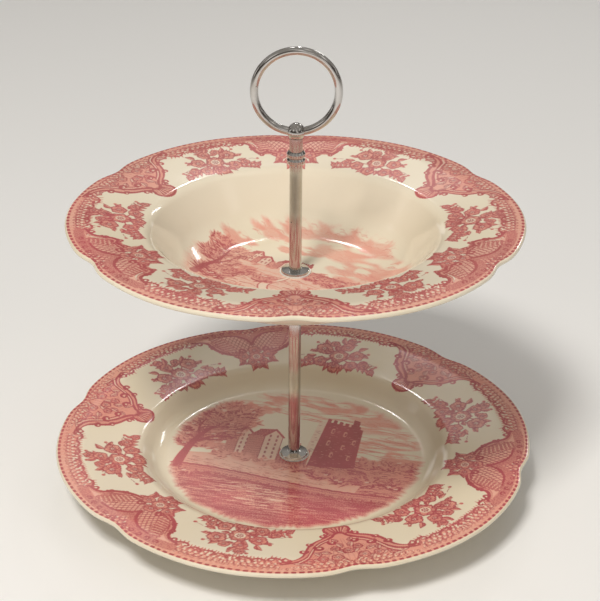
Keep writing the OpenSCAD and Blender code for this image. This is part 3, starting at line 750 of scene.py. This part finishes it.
def build_plate(name, s, z0, turn, border, borders_at, scene, scene_turn, scene_r):
    """A plate as one closed skin of rings, with the print in a point attribute and a map for baking."""
    co, prt, uv, ring_at = [], [], [], []
    r_uv = s.r + 1
    rim_under = s.under[:31]
    order = np.argsort(rim_under[:, 0])
    count = 0
    for n, deg, rad, z, kind in plate_rings(s):
        if z is not None:
            zz = np.full(n, z)
        elif kind in ("top", "bore_top"):
            zz = np.interp(rad, s.top[:, 0], s.top[:, 1])
        else:
            zz = np.interp(rad, rim_under[order, 0], rim_under[order, 1])
        rr = np.radians(deg)
        x, y = rad * np.cos(rr), rad * np.sin(rr)
        wash, ink = np.zeros(n), np.zeros(n)
        if kind in ("top", "lip"):
            if rad.mean() > s.shoulder - 3:
                pr = np.radians((deg + turn - borders_at + 60) % 120 - 60)
                wash, ink = border.read(rad * np.cos(pr), rad * np.sin(pr))
                if kind == "lip":
                    fade = np.clip((z - s.h + 1.0) / 1.0, 0, 1)
                    wash, ink = wash * fade, ink * fade
            elif rad.mean() < scene_r - 0.2:
                a = np.radians(deg + turn - scene_turn)
                k = WELL_R / scene_r
                wash, ink = scene.read(rad * np.cos(a) * k, rad * np.sin(a) * k)
        co.append(np.c_[x, y, zz])
        prt.append(np.c_[wash, ink, np.zeros(n)])
        side = 0 if kind in ("top", "bore_top", "lip") else 1
        uv.append(np.c_[x, y, np.full(n, side)])
        ring_at.append((count, n))
        count += n
    deg = np.arange(N_IN) * 360.0 / N_IN
    rr = np.radians(deg)
    for px, pz in underside(s):
        bare = 1.0 if (pz < 0.7 and px > s.foot_in - 0.5) else 0.0
        co.append(np.c_[px * np.cos(rr), px * np.sin(rr), np.full(N_IN, pz)])
        prt.append(np.c_[np.zeros(N_IN), np.zeros(N_IN), np.full(N_IN, bare)])
        uv.append(np.c_[co[-1][:, :2], np.ones(N_IN)])
        ring_at.append((count, N_IN))
        count += N_IN
    co, prt, uv = np.vstack(co), np.vstack(prt), np.vstack(uv)
    q = ring_faces(ring_at)
    t = math.radians(turn)
    R = np.array([[math.cos(t), -math.sin(t), 0], [math.sin(t), math.cos(t), 0], [0, 0, 1]])
    world = (co @ R.T + [0, 0, z0]) * MM
    me = bpy.data.meshes.new(name)
    me.vertices.add(len(world))
    me.vertices.foreach_set("co", world.astype(np.float32).ravel())
    # A quad with a repeated corner becomes a triangle.
    first, last = q[:, 0] == q[:, 1], q[:, 2] == q[:, 3]
    sizes = np.where(first | last, 3, 4)
    q[first] = q[first][:, [1, 2, 3, 3]]
    mask = np.ones(q.shape, bool)
    mask[sizes == 3, 3] = False
    flat = q[mask]
    starts = np.r_[0, np.cumsum(sizes)[:-1]]
    me.loops.add(len(flat))
    me.loops.foreach_set("vertex_index", flat.astype(np.int32))
    me.polygons.add(len(sizes))
    me.polygons.foreach_set("loop_start", starts.astype(np.int32))
    me.polygons.foreach_set("use_smooth", np.ones(len(sizes), bool))
    me.update(calc_edges=True)
    me.validate()
    col = me.attributes.new("print", "FLOAT_COLOR", "POINT")
    rgba = np.c_[prt, np.ones(len(prt))].astype(np.float32)
    col.data.foreach_set("color", rgba.ravel())
    layer = me.uv_layers.new(name="OFBake")
    vi = np.empty(len(me.loops), np.int32)
    me.loops.foreach_get("vertex_index", vi)
    # The printed side fills the map; the plain underside shares a corner of it.
    at, side = uv[vi, :2] / r_uv, uv[vi, 2:]
    layer.data.foreach_set("uv", np.where(side == 0, 0.5 + at * 0.498, 0.072 + at * 0.068).astype(np.float32).ravel())
    ob = bpy.data.objects.new(name, me)
    bpy.context.scene.collection.objects.link(ob)
    return ob


# ---------------------------------------------------------------- materials
def new_material(name):
    m = bpy.data.materials.new(name)
    m.use_nodes = True
    nt = m.node_tree
    return m, nt, nt.nodes["Principled BSDF"]


def node(nt, kind, **values):
    n = nt.nodes.new(kind)
    for k, v in values.items():
        if k in n.inputs:
            n.inputs[k].default_value = v
        else:
            setattr(n, k, v)
    return n


def noise(nt, scale, detail=3.0, rough=0.5, coord=None):
    n = node(nt, "ShaderNodeTexNoise", Scale=scale, Detail=detail, Roughness=rough)
    if coord is not None:
        nt.links.new(coord, n.inputs["Vector"])
    return n


def mix(nt, a, b, fac, mode="MIX"):
    n = nt.nodes.new("ShaderNodeMix")
    n.data_type = "RGBA"
    n.blend_type = mode
    for sock, val in ((n.inputs[0], fac), (n.inputs[6], a), (n.inputs[7], b)):
        if isinstance(val, bpy.types.NodeSocket):
            nt.links.new(val, sock)
        else:
            sock.default_value = val
    return n.outputs[2]


def math_node(nt, op, a, b=None, c=None, clamp=False):
    n = nt.nodes.new("ShaderNodeMath")
    n.operation = op
    n.use_clamp = clamp
    for i, val in enumerate((a, b, c)):
        if val is None:
            continue
        if isinstance(val, bpy.types.NodeSocket):
            nt.links.new(val, n.inputs[i])
        else:
            n.inputs[i].default_value = val
    return n.outputs[0]


def span(nt, val, lo, hi, a=0.0, b=1.0):
    """A smooth step from a at lo to b at hi."""
    n = nt.nodes.new("ShaderNodeMapRange")
    n.interpolation_type = "SMOOTHSTEP"
    nt.links.new(val, n.inputs[0])
    for i, v in zip((1, 2, 3, 4), (lo, hi, a, b)):
        n.inputs[i].default_value = v
    return n.outputs[0]


def tinted(color, *by):
    """The colour times a factor for each channel, as a shader colour."""
    return (*(c * f for c, f in zip(color, by)), 1)


def glaze_material(name, cream, salmon, crimson, tint=1.0):
    """Cream earthenware with a transfer print under a clear glaze."""
    m, nt, bsdf = new_material(name)
    link = nt.links.new
    geo = nt.nodes.new("ShaderNodeTexCoord").outputs["Object"]
    attr = node(nt, "ShaderNodeAttribute", attribute_name="print")
    sep = nt.nodes.new("ShaderNodeSeparateColor")
    link(attr.outputs["Color"], sep.inputs[0])
    wash, ink, bare = sep.outputs[0], sep.outputs[1], sep.outputs[2]
    grain = noise(nt, 900.0, 2.0, 0.6, geo).outputs["Fac"]
    cloud = noise(nt, 42.0, 4.0, 0.55, geo).outputs["Fac"]
    broad = noise(nt, 9.0, 2.0, 0.5, geo).outputs["Fac"]
    # Engraved stipple: dots that grow with the tone
    dots = node(nt, "ShaderNodeTexVoronoi", Scale=1150.0, Randomness=0.7)
    link(geo, dots.inputs["Vector"])
    stipple = span(nt, dots.outputs["Distance"], 0.15, 0.75, 0.22, -0.22)
    tone_w = math_node(nt, "ADD", wash, math_node(nt, "MULTIPLY", math_node(nt, "SUBTRACT", grain, 0.5), 0.35))
    wash_f = math_node(nt, "MULTIPLY", span(nt, tone_w, 0.0, 0.9), span(nt, cloud, 0.25, 0.75, 0.82, 1.0),
                       clamp=True)
    ink_in = math_node(nt, "MULTIPLY", ink, math_node(nt, "ADD", 1.0, stipple))
    ink_f = math_node(nt, "MULTIPLY", span(nt, ink_in, 0.0, 0.88), span(nt, broad, 0.3, 0.7, 0.86, 1.0),
                      clamp=True)
    body = mix(nt, (*cream, 1), tinted(cream, 0.93, 0.9, 0.82), span(nt, broad, 0.35, 0.7, 0.0, 0.7))
    body = mix(nt, body, tinted(cream, 0.9, 0.86, 0.76), span(nt, cloud, 0.55, 0.8, 0.0, 0.25))
    washed = mix(nt, body, (*salmon, 1), math_node(nt, "MULTIPLY", wash_f, 0.92 * tint))
    deep = mix(nt, (*crimson, 1), tinted(crimson, 1.35, 1.8, 1.7), span(nt, cloud, 0.3, 0.7))
    inked = mix(nt, washed, deep, math_node(nt, "MULTIPLY", ink_f, 0.97 * tint))
    final = mix(nt, inked, (0.62, 0.56, 0.46, 1), bare)
    link(final, bsdf.inputs["Base Color"])
    rough = math_node(nt, "ADD", span(nt, cloud, 0.3, 0.8, 0.10, 0.17), math_node(nt, "MULTIPLY", bare, 0.55))
    link(rough, bsdf.inputs["Roughness"])
    bump = node(nt, "ShaderNodeBump", Strength=0.05, Distance=0.0006)
    wave = noise(nt, 55.0, 2.0, 0.5, geo).outputs["Fac"]
    link(wave, bump.inputs["Height"])
    link(bump.outputs[0], bsdf.inputs["Normal"])
    bsdf.inputs["IOR"].default_value = 1.5
    bsdf.inputs["Coat Weight"].default_value = 0.35
    bsdf.inputs["Coat Roughness"].default_value = 0.06
    return m


def chrome_material(name, color=(0.62, 0.60, 0.58), rough=(0.07, 0.16), scratch=0.12):
    """Old chrome plate: clear reflections, faint cloudiness, fine polishing lines and a few dull spots."""
    m, nt, bsdf = new_material(name)
    link = nt.links.new
    geo = nt.nodes.new("ShaderNodeTexCoord").outputs["Object"]
    cloud = noise(nt, 120.0, 4.0, 0.6, geo).outputs["Fac"]
    fine = noise(nt, 1400.0, 2.0, 0.5, geo).outputs["Fac"]
    mapping = node(nt, "ShaderNodeMapping")
    mapping.inputs["Scale"].default_value = (900, 900, 40)
    link(geo, mapping.inputs["Vector"])
    lines = noise(nt, 3.0, 3.0, 0.6, mapping.outputs[0]).outputs["Fac"]
    spots = node(nt, "ShaderNodeTexVoronoi", Scale=300.0)
    link(geo, spots.inputs["Vector"])
    pit = span(nt, spots.outputs["Distance"], 0.05, 0.16, 1.0, 0.0)
    pit = math_node(nt, "MULTIPLY", pit, span(nt, cloud, 0.5, 0.62))
    base = mix(nt, (*color, 1), tinted(color, 0.8, 0.77, 0.72), span(nt, cloud, 0.4, 0.75, 0.0, 0.7))
    base = mix(nt, base, (0.16, 0.12, 0.09, 1), math_node(nt, "MULTIPLY", pit, 0.7))
    link(base, bsdf.inputs["Base Color"])
    bsdf.inputs["Metallic"].default_value = 1.0
    r = math_node(nt, "ADD", span(nt, cloud, 0.3, 0.75, rough[0], rough[1]), math_node(nt, "MULTIPLY", pit, 0.4))
    link(r, bsdf.inputs["Roughness"])
    bump = node(nt, "ShaderNodeBump", Strength=scratch, Distance=0.00004)
    link(math_node(nt, "ADD", lines, math_node(nt, "MULTIPLY", fine, 0.4)), bump.inputs["Height"])
    link(bump.outputs[0], bsdf.inputs["Normal"])
    return m


def plastic_material(name, color):
    """Moulded plastic, slightly yellowed in patches, with a fine matt grain."""
    m, nt, bsdf = new_material(name)
    link = nt.links.new
    geo = nt.nodes.new("ShaderNodeTexCoord").outputs["Object"]
    cloud = noise(nt, 160.0, 3.0, 0.5, geo).outputs["Fac"]
    fine = noise(nt, 2200.0, 2.0, 0.5, geo).outputs["Fac"]
    link(mix(nt, (*color, 1), tinted(color, 0.86, 0.82, 0.72), span(nt, cloud, 0.4, 0.75, 0, 0.7)),
         bsdf.inputs["Base Color"])
    link(span(nt, cloud, 0.3, 0.7, 0.32, 0.5), bsdf.inputs["Roughness"])
    bump = node(nt, "ShaderNodeBump", Strength=0.15, Distance=0.00005)
    link(fine, bump.inputs["Height"])
    link(bump.outputs[0], bsdf.inputs["Normal"])
    bsdf.inputs["Subsurface Weight"].default_value = 0.1
    return m


CREAM = (0.80, 0.72, 0.57)
SALMON = (0.77, 0.29, 0.215)
CRIMSON = (0.33, 0.035, 0.05)
lower_glaze = glaze_material("lower_glaze", CREAM, SALMON, CRIMSON)
upper_glaze = glaze_material("upper_glaze", CREAM, SALMON, CRIMSON, 0.95)
chrome = chrome_material("chrome_plate")
steel = chrome_material("plated_steel", (0.55, 0.54, 0.52), (0.2, 0.34), 0.25)
brass = chrome_material("turned_brass", (0.72, 0.50, 0.22), (0.2, 0.32), 0.3)
plastic = plastic_material("white_plastic", (0.86, 0.84, 0.78))

for mat, parts in (
        (chrome, ("lower_flange", "under_flange", "upper_flange", "lower_rod", "upper_rod", "rod_collar",
                  "handle_neck", "ring_ball", "handle_ring")),
        (steel, ("base_screw", "base_washer", "joining_stud", "handle_stud")),
        (brass, ("lower_rod_foot_plug", "lower_rod_head_plug", "upper_rod_foot_plug", "upper_rod_head_plug")),
        (plastic, ("base_seal", "lower_seal", "under_seal", "upper_seal"))):
    for part in parts:
        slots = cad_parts[part].data.materials
        slots.clear()
        slots.append(mat)

# ---------------------------------------------------------------- the two plates
lower = Shape(127.5, 4.2, 23.4, 73.5, 82.5, 4.8, 5.2, 3)
upper = Shape(115.5, 4.2, 39.6, 53, 74, 5, 3, 10)
LOWER_TURN = 14.0         # how far the lower plate is turned on the rod, in degrees
UPPER_BORDER_AT = 30.0    # where the first strapwork of the upper rim stands
upper_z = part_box("upper_plate")[0].z / MM
lower_border = draw_border(lower.r - 2, lambda a: lower.outline(a + 30), 81.5, 11)
lower_ob = build_plate("lower_plate_china", lower, 0.0, LOWER_TURN, lower_border, UPPER_BORDER_AT + LOWER_TURN,
                       draw_river(3), -10.0, 72.0)
upper_border = draw_border(upper.r - 2, lambda a: upper.outline(a + 30), 74.5, 23)
upper_ob = build_plate("upper_plate_china", upper, upper_z, 0.0, upper_border, UPPER_BORDER_AT,
                       draw_vale(8), -30.0, 61.0)
for ob, mat, nodes, body in ((lower_ob, lower_glaze, "lower_plate", "lower_tier"),
                             (upper_ob, upper_glaze, "upper_plate", "upper_tier")):
    ob.data.materials.append(mat)
    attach(ob, body)
    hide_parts(nodes)


# ---------------------------------------------------------------- stage, light and camera
FLOOR_HALF, FLOOR_Z = 40, -0.0002
paper, _, paper_bsdf = new_material("floor_paper")
paper_bsdf.inputs["Base Color"].default_value = (0.88, 0.88, 0.87, 1)
paper_bsdf.inputs["Roughness"].default_value = 0.6
floor_me = bpy.data.meshes.new("floor")
floor_me.from_pydata([(FLOOR_HALF * x, FLOOR_HALF * y, FLOOR_Z) for x, y in ((-1, -1), (1, -1), (1, 1), (-1, 1))],
                     [], [(0, 1, 2, 3)])
floor = bpy.data.objects.new("floor", floor_me)
floor_me.materials.append(paper)
bpy.context.scene.collection.objects.link(floor)
AIM = (0, 0, 0.1)


def area_light(name, at, size, power, color=(1, 1, 1)):
    """An area light that points at the middle of the stand."""
    li = bpy.data.lights.new(name, "AREA")
    li.shape = "RECTANGLE"
    li.size, li.size_y = size
    li.energy = power
    li.color = color
    ob = bpy.data.objects.new(name, li)
    ob.location = at
    ob.rotation_euler = (Vector(AIM) - Vector(at)).to_track_quat("-Z", "Y").to_euler()
    bpy.context.scene.collection.objects.link(ob)
    return ob


area_light("key", (-0.42, -0.85, 1.55), (0.4, 0.4), 22, (1, 0.96, 0.91)).visible_glossy = False
area_light("fill", (1.2, -0.9, 0.9), (0.8, 0.8), 1.6, (1, 0.97, 0.94)).visible_glossy = False
area_light("glint_left", (-0.12, 1.2, 1.1), (0.10, 0.05), 0.5)
area_light("glint_right", (0.10, 1.25, 1.1), (0.10, 0.05), 0.5)
area_light("glint_rim", (0.5, 1.0, 0.7), (0.3, 0.06), 0.6)

world = bpy.data.worlds.new("studio")
bpy.context.scene.world = world
world.use_nodes = True
# A bright ceiling over dim walls, so that the chrome has something to reflect
sky = world.node_tree
bg = sky.nodes["Background"]
way = sky.nodes.new("ShaderNodeSeparateXYZ")
sky.links.new(sky.nodes.new("ShaderNodeTexCoord").outputs["Generated"], way.inputs[0])
lit = mix(sky, (0.16, 0.13, 0.11, 1), (0.9, 0.86, 0.80, 1), span(sky, way.outputs["Z"], 0.12, 0.62))
patch = noise(sky, 2.6, 1.0, 0.4).outputs["Fac"]
sky.links.new(mix(sky, lit, (2.6, 2.5, 2.4, 1), span(sky, patch, 0.60, 0.66)), bg.inputs[0])
bg.inputs[1].default_value = 0.36
bpy.context.scene.view_settings.view_transform = "Standard"

cam_d = bpy.data.cameras.new("camera")
cam_d.sensor_width = 36
cam_d.lens = 94.379
cam = bpy.data.objects.new("camera", cam_d)
pitch, roll, yaw = 0.4675, 0.0081, -0.003478
turn_m = Matrix.Rotation(yaw, 4, "Z") @ Matrix.Rotation(math.pi / 2 - pitch, 4, "X") @ Matrix.Rotation(roll, 4, "Z")
cam.matrix_world = Matrix.Translation((0, -0.72688, 0.47027)) @ turn_m
cam_d.clip_start = 0.01
bpy.context.scene.collection.objects.link(cam)
bpy.context.scene.camera = cam
